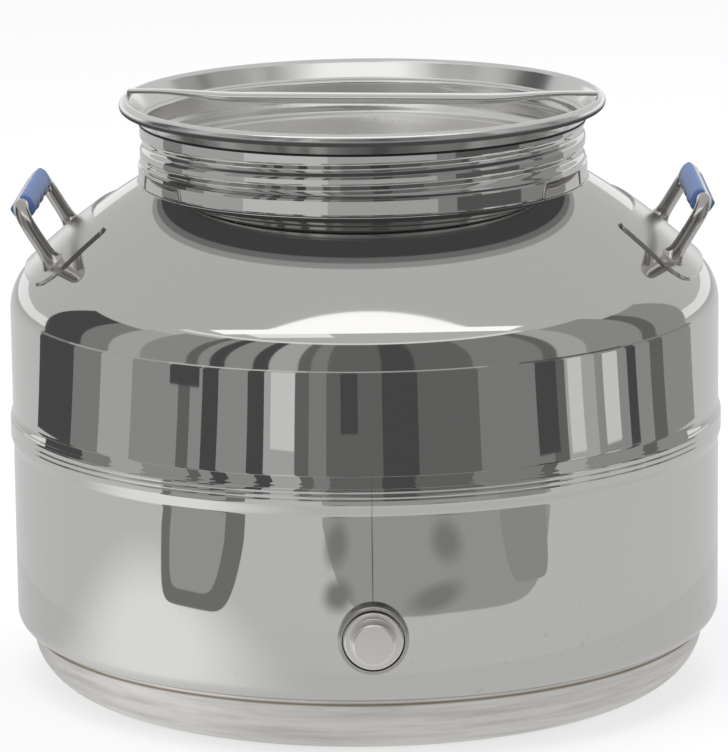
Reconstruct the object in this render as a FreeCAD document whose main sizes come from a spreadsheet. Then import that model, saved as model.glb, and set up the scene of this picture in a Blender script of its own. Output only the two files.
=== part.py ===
"""Stainless steel drum for oil or wine, nominal 20 litres: a rolled wall on a pressed base,
a spun shoulder, a short neck with a coarse rolled thread, a screw-in pan lid with a bar
across it, two welded carrying handles with snap-on grips, and a plugged tap port.

Millimetres, +Z up. The origin is on the drum's axis, on the surface that it stands on.
The tap port faces -Y and the handles stand at +X and -X.
"""
import FreeCAD, Part
import math
import os
import Sketcher
from FreeCAD import Placement, Rotation, Vector

doc = FreeCAD.newDocument("drum")

# driving dimensions: alias, value, what it is
SIZES = (
    ("wall_radius", 175.0, "outer radius of the rolled wall"),
    ("wall_sheet", 0.8, "sheet of the wall and the shoulder"),
    ("seam_height", 29.5, "where the wall turns in onto the base pan"),
    ("wall_curl", 7.5, "radius of the wall's turned-in lower edge"),
    ("bead_height", 129.7, "middle of the swaged stiffening bead"),
    ("bead_half", 9.9, "half the bead's height"),
    ("bead_crest", 3.5, "half the height of its flat crest"),
    ("bead_rise", 1.3, "how far the bead stands out"),
    ("shoulder_height", 188.3, "top of the straight wall"),
    ("corner_radius", 25.6, "rounding between wall and dome"),
    ("corner_angle", 46.7, "turn of that rounding, degrees"),
    ("dome_radius", 340.0, "radius of the dome's section"),
    ("pan_radius", 167.5, "outer radius of the base pan"),
    ("pan_sheet", 1.0, "sheet of the base pan"),
    ("pan_corner", 28.0, "radius of the base pan's lower corner"),
    ("groove_radius", 108.0, "radius of the stiffening ring pressed up in the base"),
    ("groove_half", 9.0, "half the width of that ring"),
    ("groove_rise", 2.6, "how far it is pressed up"),
    ("neck_radius", 110.5, "outer radius of the neck's plain band"),
    ("neck_sheet", 1.0, "sheet of the neck and the lid"),
    ("neck_foot", 249.8, "where the neck is welded on the shoulder"),
    ("band_top", 258.2, "top of the plain band"),
    ("thread_wall", 109.6, "outer radius of the neck beside the thread"),
    ("neck_top", 278.8, "upper edge of the neck"),
    ("thread_pitch", 10.0, "rise of the rolled thread in one turn"),
    ("thread_start", 259.3, "height of the rolled groove where it starts"),
    ("thread_rise", 15.2, "rise of the neck's groove from end to end"),
    ("thread_depth", 1.4, "depth of the rolled groove"),
    ("thread_round", 3.9, "radius of the groove's section"),
    ("lid_clearance", 0.4, "gap between the lid's thread and the neck's"),
    ("flange_height", 280.0, "underside of the lid's flange"),
    ("flange_radius", 110.5, "where the flange turns up"),
    ("rim_radius", 116.5, "radius of the rolled rim's centre line"),
    ("rim_height", 287.6, "height of the rolled rim's centre line"),
    ("rim_round", 3.0, "outer radius of the roll itself"),
    ("rim_tail", -145.0, "where round the roll its lip ends, degrees from outward"),
    ("lid_floor", 263.5, "underside of the lid's floor"),
    ("lid_corner", 4.0, "outer radius between the lid's wall and floor"),
    ("panel_radius", 97.0, "radius of the lowered middle of the lid"),
    ("panel_drop", 1.0, "how far the middle is lowered"),
    ("gasket_inner", 108.65, "inner radius of the lid gasket"),
    ("gasket_outer", 110.1, "outer radius of the lid gasket"),
    ("bar_turn", -6.9, "how the lid's bar stands to the X axis when shut, degrees"),
    ("bar_shift", 3.0, "how far behind the axis the bar is welded"),
    ("bar_width", 13.0, "width of the bar in the middle"),
    ("bar_depth", 3.8, "depth of the bar in the middle"),
    ("bar_top", 290.4, "height of the bar's upper face in the middle"),
    ("bar_straight", 60.0, "half the length of the bar's full section"),
    ("bar_sheet", 1.2, "sheet that the bar is pressed from"),
    ("bar_round", 1.7, "rounding of the bar's upper corners"),
    ("tab_width", 7.0, "width of the bar's flattened ends"),
    ("tab_depth", 1.6, "thickness of the flattened ends"),
    ("tab_start", 103.5, "where the ends are fully flattened"),
    ("tab_reach", 116.2, "how far out the flattened ends go"),
    ("rod", 7.2, "diameter of the handle rod"),
    ("foot_spread", 100.0, "distance between a handle's feet"),
    ("foot_out", 149.4, "distance of the feet from the middle plane"),
    ("foot_height", 217.2, "height of the feet"),
    ("handle_lean", 31.6, "lean of the handle from upright, degrees"),
    ("handle_rise", 30.0, "length of a leg up to the bar's centre line"),
    ("handle_bend", 11.0, "radius of the handle's bends"),
    ("handle_turn", -3.4, "how far the left handle is welded round from the X axis, degrees"),
    ("foot_depth", 6.0, "how far the legs run down past the foot's height before they are fitted"),
    ("collar_base", 9.9, "radius of the weld collar at that depth"),
    ("collar_top", 3.9, "radius of the weld collar where it ends on the leg"),
    ("collar_height", 10.9, "length of the weld collar"),
    ("grip_length", 76.0, "length of the grip"),
    ("grip_half", 5.5, "half the grip's width"),
    ("grip_drop", 7.8, "how far the grip reaches below the bar's centre line"),
    ("grip_corner", 2.8, "rounding of the grip's lower edges"),
    ("grip_slit", 2.9, "half the slit along the grip's top"),
    ("wave_round", 24.0, "radius of the finger waves"),
    ("wave_depth", 2.0, "depth of the finger waves"),
    ("pad_sheet", 1.2, "thickness of the handle's pad"),
    ("pad_outer", 167.4, "outer radius of the pad"),
    ("pad_inner", 134.0, "inner radius of the pad"),
    ("pad_sweep", 48.0, "angle that the pad spans, degrees"),
    ("pad_round", 12.0, "rounding of the pad's outer corners"),
    ("pad_nip", 4.0, "rounding of the pad's inner corners"),
    ("tap_height", 62.0, "height of the tap port"),
    ("port_radius", 15.0, "radius of the port's body through the wall"),
    ("port_flange", 16.75, "radius of the port's flange"),
    ("port_face", 180.0, "distance of the port's rim from the drum's axis"),
    ("port_dish", 1.5, "depth of the seat in the port's face"),
    ("port_seat", 14.3, "radius of that seat"),
    ("port_back", 166.0, "distance of the port's inner end from the axis"),
    ("port_bore", 9.90, "pitch radius of the half-inch pipe thread"),
    ("plug_gap", 0.3, "gap between the plug's shank and the bore"),
    ("washer_sheet", 1.0, "thickness of the plug's washer"),
    ("plug_flange", 13.8, "radius of the plug's flange"),
    ("plug_shoulder", 1.8, "thickness of the plug's flange"),
    ("plug_head", 10.4, "radius of the plug's head"),
    ("plug_reach", 6.9, "how far the head stands out of the flange"),
    ("plug_shank", 11.0, "length of the plug's shank"),
)

sheet = doc.addObject("Spreadsheet::Sheet", "Dim")
for row, (alias, value, note) in enumerate(SIZES, start=1):
    sheet.set("A%d" % row, alias)
    sheet.set("B%d" % row, repr(value))
    sheet.set("C%d" % row, note)
    sheet.setAlias("B%d" % row, alias)
doc.recompute()


def size(expression):
    """Value of an expression over the sheet's aliases."""
    value = sheet.evalExpression(bound(expression))
    return float(getattr(value, "Value", value))


def bound(expression):
    """Write an expression over plain aliases as one over the sheet's cells."""
    text = " %s " % expression
    for alias in sorted((row[0] for row in SIZES), key=len, reverse=True):
        text = replace_word(text, alias)
    return text.strip()


def replace_word(text, alias):
    """Put the sheet's name before each whole word that is an alias."""
    out = ""
    rest = text
    while alias in rest:
        before, rest = rest.split(alias, 1)
        whole = not (before[-1:].isalnum() or before[-1:] in "._") and not (rest[:1].isalnum() or rest[:1] == "_")
        out += before + ("Dim." if whole else "") + alias
    return out + rest


def plane(body, role):
    """One of a body's own origin planes."""
    return next(item for item in body.Origin.OriginFeatures if item.Role == role)


def new_body(label):
    """An empty body whose label names its file."""
    body = doc.addObject("PartDesign::Body", label)
    body.Label = label
    return body


def outline(body, name, points, arcs=None, role="XZ_Plane"):
    """Closed sketch through points given as expressions.

    arcs maps the number of an edge to (radius, side): side +1 bulges to the left of the
    edge's direction and -1 to the right, and adding "long" takes the longer way round.
    """
    arcs = arcs or {}
    sketch = body.newObject("Sketcher::SketchObject", name)
    sketch.AttachmentSupport = (plane(body, role), [""])
    sketch.MapMode = "FlatFace"
    spots = [Vector(size(px), size(py), 0) for px, py in points]
    count = len(spots)
    for i, here in enumerate(spots):
        there = spots[(i + 1) % count]
        if i in arcs:
            sketch.addGeometry(arc_between(here, there, size(arcs[i][0]), *arcs[i][1:]), False)
        else:
            sketch.addGeometry(Part.LineSegment(here, there), False)
    ends = [edge_ends(sketch, i, spots[i]) for i in range(count)]
    for i in range(count):
        after = (i + 1) % count
        sketch.addConstraint(Sketcher.Constraint("Coincident", i, ends[i][1], after, ends[after][0]))
    for i, (px, py) in enumerate(points):
        place_point(sketch, i, ends[i][0], px, py)
    for i, arc in arcs.items():
        number = sketch.addConstraint(Sketcher.Constraint("Radius", i, size(arc[0])))
        sketch.setExpression("Constraints[%d]" % number, bound(arc[0]))
    doc.recompute()
    return sketch


def arc_between(here, there, radius, side, way="short"):
    """Circular arc from one point to another."""
    chord = there - here
    half = chord.Length / 2
    left = Vector(-chord.y, chord.x, 0).normalize()
    rise = math.sqrt(max(radius * radius - half * half, 0.0))
    inward = -side if way == "short" else side
    centre = (here + there) / 2 + left * (inward * rise)
    reach = radius - rise if way == "short" else radius + rise
    middle = (here + there) / 2 + left * (side * reach)
    middle = centre + (middle - centre).normalize() * radius
    return Part.Arc(here, middle, there)


def edge_ends(sketch, index, start):
    """Which end of an edge is its start: an arc may be stored the other way round."""
    first = sketch.getPoint(index, 1)
    return (1, 2) if first.distanceToPoint(start) < 1e-6 else (2, 1)


def place_point(sketch, index, end, px, py):
    """Tie one corner to its two expressions, or to an axis where it lies on one."""
    for kind, axis, expression in (("DistanceX", -2, px), ("DistanceY", -1, py)):
        value = size(expression)
        if abs(value) < 1e-9:
            sketch.addConstraint(Sketcher.Constraint("PointOnObject", index, end, axis))
        else:
            number = sketch.addConstraint(Sketcher.Constraint(kind, -1, 1, index, end, value))
            sketch.setExpression("Constraints[%d]" % number, bound(expression))


def revolve(body, sketch, name, axis="V_Axis"):
    """Full turn of a sketch about one of its axes."""
    turn = body.newObject("PartDesign::Revolution", name)
    turn.Profile = sketch
    turn.ReferenceAxis = (sketch, [axis])
    turn.Angle = 360
    sketch.Visibility = False
    doc.recompute()
    return turn


def pad(body, sketch, name, length, midplane=True):
    """Straight extrusion of a sketch."""
    block = body.newObject("PartDesign::Pad", name)
    block.Profile = sketch
    block.Midplane = midplane
    block.setExpression("Length", bound(length))
    doc.recompute()
    return block


def pocket_through(body, sketch, name, reach, reverse=False):
    """Cut a sketch out of the body, on one side of its plane."""
    before = body.Shape.Volume
    cut = body.newObject("PartDesign::Pocket", name)
    cut.Profile = sketch
    cut.Reversed = reverse
    cut.setExpression("Length", bound(reach))
    doc.recompute()
    if not body.Shape.Volume < before:
        raise ValueError("%s cut nothing" % name)
    return cut


def coil(body, kind, sketch, name, rise):
    """Sweep a section along the drum's thread."""
    before = body.Shape.Volume
    sweep = body.newObject("PartDesign::%sHelix" % kind, name)
    sweep.Profile = sketch
    sweep.ReferenceAxis = (sketch, ["V_Axis"])
    sweep.Mode = 0
    sweep.LeftHanded = False
    sweep.Reversed = False
    sweep.setExpression("Pitch", bound("thread_pitch"))
    sweep.setExpression("Height", bound(rise))
    doc.recompute()
    grew = body.Shape.Volume > before
    if grew != (kind == "Additive"):
        raise ValueError("%s changed the volume the wrong way" % name)
    return sweep


def base_pan():
    """Pressed base: flat, with a stiffening ring pressed up in it and a large rounded corner."""
    body = new_body("base_pan")
    hollow = "(groove_radius - groove_half)", "(groove_radius + groove_half)"
    round_under = "((groove_half^2 + groove_rise^2) / (2 * groove_rise))"
    points = (
        ("0", "0"), (hollow[0], "0"), (hollow[1], "0"),
        ("pan_radius - pan_corner", "0"), ("pan_radius", "pan_corner"), ("pan_radius", "seam_height"),
        ("pan_radius - pan_sheet", "seam_height"), ("pan_radius - pan_sheet", "pan_corner"),
        ("pan_radius - pan_corner", "pan_sheet"), (hollow[1], "pan_sheet"),
        (hollow[0], "pan_sheet"), ("0", "pan_sheet"),
    )
    arcs = {
        1: (round_under, 1), 3: ("pan_corner", -1), 7: ("pan_corner - pan_sheet", 1), 9: (round_under, -1),
    }
    revolve(body, outline(body, "pan_section", points, arcs), "pan_turned")
    return body


def body_wall():
    """Rolled wall with its swaged bead, turned in at the foot, with the port's hole."""
    body = new_body("body_wall")
    inner = "wall_radius - wall_sheet"
    swage = (("0", "bead_height - bead_half"), ("bead_rise", "bead_height - bead_crest"),
             ("bead_rise", "bead_height + bead_crest"), ("0", "bead_height + bead_half"))
    outside = [("wall_radius + %s" % out, height) for out, height in swage]
    inside = [("%s + %s" % (inner, out), height) for out, height in reversed(swage)]
    points = [
        ("pan_radius - pan_sheet", "seam_height"), ("wall_radius - wall_curl", "seam_height"),
        ("wall_radius", "seam_height + wall_curl"), *outside,
        ("wall_radius", "shoulder_height"), (inner, "shoulder_height"), *inside,
        (inner, "seam_height + wall_curl"), ("wall_radius - wall_curl", "seam_height + wall_sheet"),
        ("pan_radius - pan_sheet", "seam_height + wall_sheet"),
    ]
    arcs = {1: ("wall_curl", -1), 13: ("wall_curl - wall_sheet", 1)}
    revolve(body, outline(body, "wall_section", points, arcs), "wall_turned")
    hole = round_sketch(body, "port_hole", "0", "tap_height", "port_radius")
    pocket_through(body, hole, "port_opening", "wall_radius + 10", reverse=True)
    return body


def round_sketch(body, name, px, py, radius, role="XZ_Plane"):
    """Sketch of one circle."""
    sketch = body.newObject("Sketcher::SketchObject", name)
    sketch.AttachmentSupport = (plane(body, role), [""])
    sketch.MapMode = "FlatFace"
    middle = Vector(size(px), size(py), 0)
    sketch.addGeometry(Part.Circle(middle, Vector(0, 0, 1), size(radius)), False)
    place_point(sketch, 0, 3, px, py)
    number = sketch.addConstraint(Sketcher.Constraint("Radius", 0, size(radius)))
    sketch.setExpression("Constraints[%d]" % number, bound(radius))
    doc.recompute()
    return sketch


# the shoulder's section: a corner arc, then a dome arc tangent to it
TURN = "(corner_angle * 1 deg)"
CORNER_X = "(wall_radius - corner_radius * (1 - cos%s))" % TURN
CORNER_Z = "(shoulder_height + corner_radius * sin%s)" % TURN
DOME_X = "(%s - dome_radius * cos%s)" % (CORNER_X, TURN)
DOME_Z = "(%s - dome_radius * sin%s)" % (CORNER_Z, TURN)


def dome_height(radius, lift="0"):
    """Height of the dome at a distance from the axis, or of a face lifted off it."""
    return "(%s + sqrt((dome_radius + %s)^2 - (%s - %s)^2))" % (DOME_Z, lift, radius, DOME_X)


def shoulder():
    """Spun shoulder from the wall to the neck."""
    body = new_body("shoulder")
    seat = "(neck_radius + 0.8)"
    hole = "(neck_radius - neck_sheet)"
    inner = "(corner_radius - wall_sheet)"
    points = (
        ("wall_radius", "shoulder_height"), (CORNER_X, CORNER_Z), (seat, dome_height(seat)),
        (seat, "neck_foot"), (hole, "neck_foot"), (hole, dome_height(hole, "-wall_sheet")),
        ("%s - wall_sheet * cos%s" % (CORNER_X, TURN), "%s - wall_sheet * sin%s" % (CORNER_Z, TURN)),
        ("wall_radius - wall_sheet", "shoulder_height"),
    )
    arcs = {0: ("corner_radius", -1), 1: ("dome_radius", -1), 5: ("dome_radius - wall_sheet", 1), 6: (inner, 1)}
    revolve(body, outline(body, "shoulder_section", points, arcs), "shoulder_turned")
    return body


def thread_section(body, name, radius, face, height):
    """Round-nosed section of the rolled thread, closed beyond the face that it works on.

    radius is the section's own radius, about a centre outside the wall; face is how far
    from the drum's axis the section is closed off.
    """
    middle = "-(thread_wall - thread_depth + thread_round)"
    half = "sqrt((%s)^2 - (%s + %s)^2)" % (radius, face, middle)
    points = (("-(%s)" % face, "%s - %s" % (height, half)), ("-(%s)" % face, "%s + %s" % (height, half)))
    sketch = body.newObject("Sketcher::SketchObject", name)
    sketch.AttachmentSupport = (plane(body, "XZ_Plane"), [""])
    sketch.MapMode = "FlatFace"
    low, high = [Vector(size(px), size(py), 0) for px, py in points]
    # the arc bulges towards the axis, which lies to the right of this section
    arc = arc_between(low, high, size(radius), -1)
    sketch.addGeometry(arc, False)
    sketch.addGeometry(Part.LineSegment(high, low), False)
    ends = edge_ends(sketch, 0, low)
    sketch.addConstraint(Sketcher.Constraint("Coincident", 0, ends[1], 1, 1))
    sketch.addConstraint(Sketcher.Constraint("Coincident", 0, ends[0], 1, 2))
    place_point(sketch, 1, 1, *points[1])
    place_point(sketch, 1, 2, *points[0])
    number = sketch.addConstraint(Sketcher.Constraint("Radius", 0, size(radius)))
    sketch.setExpression("Constraints[%d]" % number, bound(radius))
    doc.recompute()
    return sketch


def neck_ring():
    """Neck: a plain band, then a wall with the thread rolled into it from outside."""
    body = new_body("neck_ring")
    inner = "(thread_wall - neck_sheet)"
    points = (
        ("neck_radius", "neck_foot"), ("neck_radius", "band_top"), ("thread_wall", "band_top + 1.3"),
        ("thread_wall", "neck_top"), (inner, "neck_top"), (inner, "band_top + 0.5"),
        ("neck_radius - neck_sheet", "band_top - 0.8"), ("neck_radius - neck_sheet", "neck_foot"),
    )
    revolve(body, outline(body, "neck_section", points), "neck_turned")
    ridge = thread_section(body, "ridge_section", "thread_round + neck_sheet", inner + " + 0.5", "thread_start")
    coil(body, "Additive", ridge, "thread_ridge", "thread_rise")
    groove = thread_section(body, "groove_section", "thread_round", "thread_wall + 0.4", "thread_start")
    coil(body, "Subtractive", groove, "thread_groove", "thread_rise")
    return body


def lid_pan():
    """Screw-in pan lid: lowered middle, threaded wall, flange, cone and outward-rolled rim."""
    body = new_body("lid_pan")
    wall = "(thread_wall - neck_sheet - lid_clearance)"
    inner = "(%s - neck_sheet)" % wall
    floor_top = "(lid_floor + neck_sheet)"
    # the cone meets the roll on its inner side, and the lip ends under the roll outside the cone
    lip = "(rim_round - neck_sheet)"
    reach = "sqrt((rim_radius - flange_radius)^2 + (rim_height - flange_height)^2)"
    slope = "(atan((rim_height - flange_height) / (rim_radius - flange_radius)) + asin(%s / %s))" % (lip, reach)
    tail = "(rim_tail * 1 deg)"
    points = (
        ("0", "lid_floor - panel_drop"), ("panel_radius", "lid_floor - panel_drop"),
        ("panel_radius + 1.5", "lid_floor"), (wall + " - lid_corner", "lid_floor"),
        (wall, "lid_floor + lid_corner"), (wall, "flange_height - 0.4"), (wall + " + 0.4", "flange_height"),
        ("flange_radius", "flange_height"),
        ("rim_radius - %s * sin%s" % (lip, slope), "rim_height + %s * cos%s" % (lip, slope)),
        ("rim_radius + %s * cos%s" % (lip, tail), "rim_height + %s * sin%s" % (lip, tail)),
        ("rim_radius + rim_round * cos%s" % tail, "rim_height + rim_round * sin%s" % tail),
        ("rim_radius - rim_round * sin%s" % slope, "rim_height + rim_round * cos%s" % slope),
        ("flange_radius - neck_sheet * tan(%s / 2)" % slope, "flange_height + neck_sheet"),
        (wall + " + 0.4", "flange_height + neck_sheet"), (inner, "flange_height - 0.4"),
        (inner, "lid_floor + lid_corner"), (wall + " - lid_corner", floor_top),
        ("panel_radius + 1.1", floor_top), ("panel_radius - 0.4", floor_top + " - panel_drop"),
        ("0", floor_top + " - panel_drop"),
    )
    arcs = {
        3: ("lid_corner", -1), 5: ("0.4", 1), 8: (lip, 1, "long"), 10: ("rim_round", -1, "long"),
        13: ("1.4", -1), 15: ("lid_corner - neck_sheet", 1),
    }
    revolve(body, outline(body, "lid_section", points, arcs), "lid_turned")
    groove_round = "(thread_round + neck_sheet + lid_clearance)"
    ridge = thread_section(body, "lid_ridge_section", groove_round + " + neck_sheet", inner + " + 0.5", "thread_start")
    coil(body, "Additive", ridge, "lid_thread_ridge", "thread_rise + 1.5")
    groove = thread_section(body, "lid_groove_section", groove_round, wall + " + 0.35", "thread_start")
    coil(body, "Subtractive", groove, "lid_thread_groove", "thread_rise + 1")
    lid_trim(body)
    return body


def ring(label, inner, outer, low, high):
    """Flat ring about the drum's axis."""
    body = new_body(label)
    points = ((inner, low), (outer, low), (outer, high), (inner, high))
    revolve(body, outline(body, label + "_section", points), label + "_turned")
    return body


def lid_trim(body):
    """Take off what the thread's sweep leaves below the lid's own corner."""
    wall = "(thread_wall - neck_sheet - lid_clearance)"
    points = (
        (wall + " - lid_corner", "lid_floor"), (wall, "lid_floor + lid_corner"),
        ("thread_wall + 3", "lid_floor + lid_corner"), ("thread_wall + 3", "lid_floor - 12"),
        (wall + " - lid_corner", "lid_floor - 12"),
    )
    sketch = outline(body, "trim_section", points, {0: ("lid_corner", -1)})
    trim = body.newObject("PartDesign::Groove", "lower_trim")
    trim.Profile = sketch
    trim.ReferenceAxis = (sketch, ["V_Axis"])
    trim.Angle = 360
    doc.recompute()


def bar_profile(body, name, along, half, low, top, corner):
    """Cross-section of the bar at one place: flat below, rounded upper corners."""
    points = (
        (half, low), (half, "%s - %s" % (top, corner)), ("%s - %s" % (half, corner), top),
        ("%s - (%s)" % (corner, half), top), ("-(%s)" % half, "%s - %s" % (top, corner)), ("-(%s)" % half, low),
    )
    sketch = outline(body, name, points, {1: (corner, -1), 3: (corner, -1)}, role="YZ_Plane")
    sketch.AttachmentOffset = Placement(Vector(0, 0, 1), Rotation())
    sketch.setExpression(".AttachmentOffset.Base.z", bound(along))
    doc.recompute()
    return sketch


def lid_bar():
    """Bar across the lid: a pressed channel whose ends are flattened onto the rim."""
    body = new_body("lid_bar")
    crest = "(rim_height + rim_round)"
    low = "(bar_top - bar_depth)"
    middle = bar_profile(body, "bar_section", "0", "bar_width / 2", low, "bar_top", "bar_round")
    pad(body, middle, "bar_middle", "2 * bar_straight")
    hollow = (("bar_width / 2 - bar_sheet", low + " - 1"), ("bar_width / 2 - bar_sheet", "bar_top - bar_sheet"),
              ("bar_sheet - bar_width / 2", "bar_top - bar_sheet"), ("bar_sheet - bar_width / 2", low + " - 1"))
    channel = body.newObject("PartDesign::Pocket", "bar_channel")
    channel.Profile = outline(body, "bar_hollow", hollow, role="YZ_Plane")
    channel.Midplane = True
    channel.setExpression("Length", bound("2 * bar_straight"))
    doc.recompute()
    for end, side in (("1", "right"), ("-1", "left")):
        wide = bar_profile(body, "bar_%s_wide" % side, end + " * bar_straight",
                           "bar_width / 2", low, "bar_top", "bar_round")
        flat = bar_profile(body, "bar_%s_flat" % side, end + " * tab_start", "tab_width / 2",
                           crest, crest + " + tab_depth", "0.5")
        taper = body.newObject("PartDesign::AdditiveLoft", "bar_%s_taper" % side)
        taper.Profile = wide
        taper.Sections = [flat]
        taper.Ruled = True
        doc.recompute()
        tab = (("tab_start", crest + " + tab_depth"), ("tab_reach - 0.8", crest + " + tab_depth"),
               ("tab_reach", crest + " + tab_depth - 0.8"), ("tab_reach", crest + " + 0.03"),
               ("tab_start", crest + " + 0.03"))
        tab = [("%s * (%s)" % (end, px), pz) for px, pz in tab]
        pad(body, outline(body, "tab_%s_side" % side, tab), "tab_%s" % side, "tab_width")
    turned(body, "bar_turn")
    body.setExpression(".Placement.Base.y", bound("bar_shift"))
    doc.recompute()
    return body


def turned(item, angle):
    """Turn a piece about the drum's axis by one of the sheet's angles."""
    item.Placement = Placement(Vector(0, 0, 0), Rotation(Vector(0, 0, 1), 1))
    item.setExpression(".Placement.Rotation.Angle", bound("%s * 1 deg" % angle))
    doc.recompute()


def round_edges(body, name, radius, wanted):
    """Round those edges of the body that a test picks."""
    base = body.Tip
    names = ["Edge%d" % number for number, edge in enumerate(base.Shape.Edges, start=1) if wanted(edge)]
    fillet = body.newObject("PartDesign::Fillet", name)
    fillet.Base = (base, names)
    fillet.setExpression("Radius", bound(radius))
    doc.recompute()
    return fillet


def dome_solid(label, lift):
    """What lies below the dome's outer face, lifted by a little: a tool for fitted pieces."""
    body = new_body(label)
    far = "(%s + (dome_radius + %s) * cos(asin((196 - %s) / (dome_radius + %s))))" % (DOME_X, lift, DOME_Z, lift)
    points = (("100", "196"), (far, "196"), ("100", dome_height("100", lift)))
    arcs = {1: ("dome_radius + %s" % lift, -1)}
    revolve(body, outline(body, label + "_section", points, arcs), label + "_turned")
    return body


def combine(kind, label, base, tool):
    """Part boolean of two objects."""
    result = doc.addObject("Part::%s" % kind, label)
    result.Label = label
    result.Base = base
    result.Tool = tool
    doc.recompute()
    return result


def mirrored(label, source):
    """The same piece on the drum's left, where it is welded on a little turned."""
    copy = doc.addObject("Part::Mirroring", label)
    copy.Label = label
    copy.Source = source
    copy.Normal = Vector(1, 0, 0)
    doc.recompute()
    turned(copy, "handle_turn")
    return copy


def handle_frame(body):
    """Stand a body at a handle's foot line, leaning outward."""
    body.Placement = Placement(Vector(0, 0, 0), Rotation(Vector(0, 1, 0), 1))
    body.setExpression(".Placement.Base.x", bound("foot_out"))
    body.setExpression(".Placement.Base.z", bound("foot_height"))
    body.setExpression(".Placement.Rotation.Angle", bound("handle_lean * 1 deg"))


def handle_rod():
    """Rod bent to a U, with a flared weld collar at each foot."""
    body = new_body("handle_rod")
    path = body.newObject("Sketcher::SketchObject", "handle_path")
    path.AttachmentSupport = (plane(body, "YZ_Plane"), [""])
    path.MapMode = "FlatFace"
    words = (("-foot_spread / 2", "-foot_depth"), ("-foot_spread / 2", "handle_rise - handle_bend"),
             ("handle_bend - foot_spread / 2", "handle_rise"), ("foot_spread / 2 - handle_bend", "handle_rise"),
             ("foot_spread / 2", "handle_rise - handle_bend"), ("foot_spread / 2", "-foot_depth"))
    spots = [Vector(size(px), size(py), 0) for px, py in words]
    bend = size("handle_bend")
    for i in range(5):
        if i in (1, 3):
            path.addGeometry(arc_between(spots[i], spots[i + 1], bend, 1), False)
        else:
            path.addGeometry(Part.LineSegment(spots[i], spots[i + 1]), False)
    ends = [edge_ends(path, i, spots[i]) for i in range(5)]
    for i in range(4):
        path.addConstraint(Sketcher.Constraint("Coincident", i, ends[i][1], i + 1, ends[i + 1][0]))
    for i in range(5):
        place_point(path, i, ends[i][0], *words[i])
    place_point(path, 4, ends[4][1], *words[5])
    for i in (1, 3):
        number = path.addConstraint(Sketcher.Constraint("Radius", i, bend))
        path.setExpression("Constraints[%d]" % number, bound("handle_bend"))
    doc.recompute()
    section = round_sketch(body, "rod_section", "0", "-foot_spread / 2", "rod / 2", role="XY_Plane")
    section.setExpression(".AttachmentOffset.Base.z", bound("-foot_depth"))
    doc.recompute()
    pipe = body.newObject("PartDesign::AdditivePipe", "rod_pipe")
    pipe.Profile = section
    pipe.Spine = (path, ["Edge%d" % i for i in range(1, 6)])
    doc.recompute()
    for side in (1, -1):
        collar = body.newObject("PartDesign::AdditiveCone", "collar_%s" % ("back" if side > 0 else "front"))
        collar.AttachmentSupport = (plane(body, "XY_Plane"), [""])
        collar.MapMode = "FlatFace"
        collar.setExpression(".AttachmentOffset.Base.y", bound("%d * foot_spread / 2" % side))
        collar.setExpression(".AttachmentOffset.Base.z", bound("-foot_depth"))
        collar.setExpression("Radius1", bound("collar_base"))
        collar.setExpression("Radius2", bound("collar_top"))
        collar.setExpression("Height", bound("collar_height"))
        doc.recompute()
    handle_frame(body)
    doc.recompute()
    return body


def grip():
    """Snap-on sleeve: a skirted C over the rod, slit at the top, finger waves below."""
    body = new_body("grip_right")
    bore = "(rod / 2 + 0.1)"
    centre = "handle_rise"
    slit_out = "(%s + sqrt(grip_half^2 - grip_slit^2))" % centre
    slit_in = "(%s + sqrt(%s^2 - grip_slit^2))" % (centre, bore)
    keel = "(%s - grip_drop)" % centre
    side = "(grip_half - 0.5)"
    points = (
        ("grip_slit", slit_out), ("grip_half", centre), (side, keel + " + grip_corner"),
        (side + " - grip_corner", keel), ("grip_corner - " + side, keel), ("-" + side, keel + " + grip_corner"),
        ("-grip_half", centre), ("-grip_slit", slit_out), ("-grip_slit", slit_in), ("grip_slit", slit_in),
    )
    arcs = {0: ("grip_half", 1), 2: ("grip_corner", 1), 4: ("grip_corner", 1), 6: ("grip_half", 1),
            8: (bore, -1, "long")}
    pad(body, outline(body, "grip_section", points, arcs), "grip_sleeve", "grip_length")
    for index in range(4):
        middle = "(%s) * grip_length / 4" % (index - 1.5)
        wave = round_sketch(body, "wave_%d" % index, middle, keel + " + wave_depth - wave_round", "wave_round",
                            role="YZ_Plane")
        cut = body.newObject("PartDesign::Pocket", "finger_%d" % index)
        cut.Profile = wave
        cut.Midplane = True
        cut.setExpression("Length", bound("4 * grip_half"))
        doc.recompute()
    handle_frame(body)
    doc.recompute()
    return body


def handle_pad(above, below):
    """Doubler plate under a handle: a sector with rounded corners laid on the dome."""
    body = new_body("pad_block")
    angle = "(pad_sweep / 2 * 1 deg)"
    points = (
        ("pad_outer * cos%s" % angle, "-pad_outer * sin%s" % angle),
        ("pad_outer * cos%s" % angle, "pad_outer * sin%s" % angle),
        ("pad_inner * cos%s" % angle, "pad_inner * sin%s" % angle),
        ("pad_inner * cos%s" % angle, "-pad_inner * sin%s" % angle),
    )
    sketch = outline(body, "pad_outline", points, {0: ("pad_outer", -1), 2: ("pad_inner", 1)}, role="XY_Plane")
    pad(body, sketch, "pad_height", "neck_foot", midplane=False)

    def upright(edge, outside):
        middle = edge.CenterOfMass
        far = math.hypot(middle.x, middle.y) > size("(pad_inner + pad_outer) / 2")
        return abs(edge.tangentAt(edge.FirstParameter).z) > 0.99 and far == outside

    round_edges(body, "pad_outer_corners", "pad_round", lambda edge: upright(edge, True))
    round_edges(body, "pad_inner_corners", "pad_nip", lambda edge: upright(edge, False))
    plate = combine("Common", "pad_plate", body, above)
    return combine("Cut", "handle_pad_right", plate, below)


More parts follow.
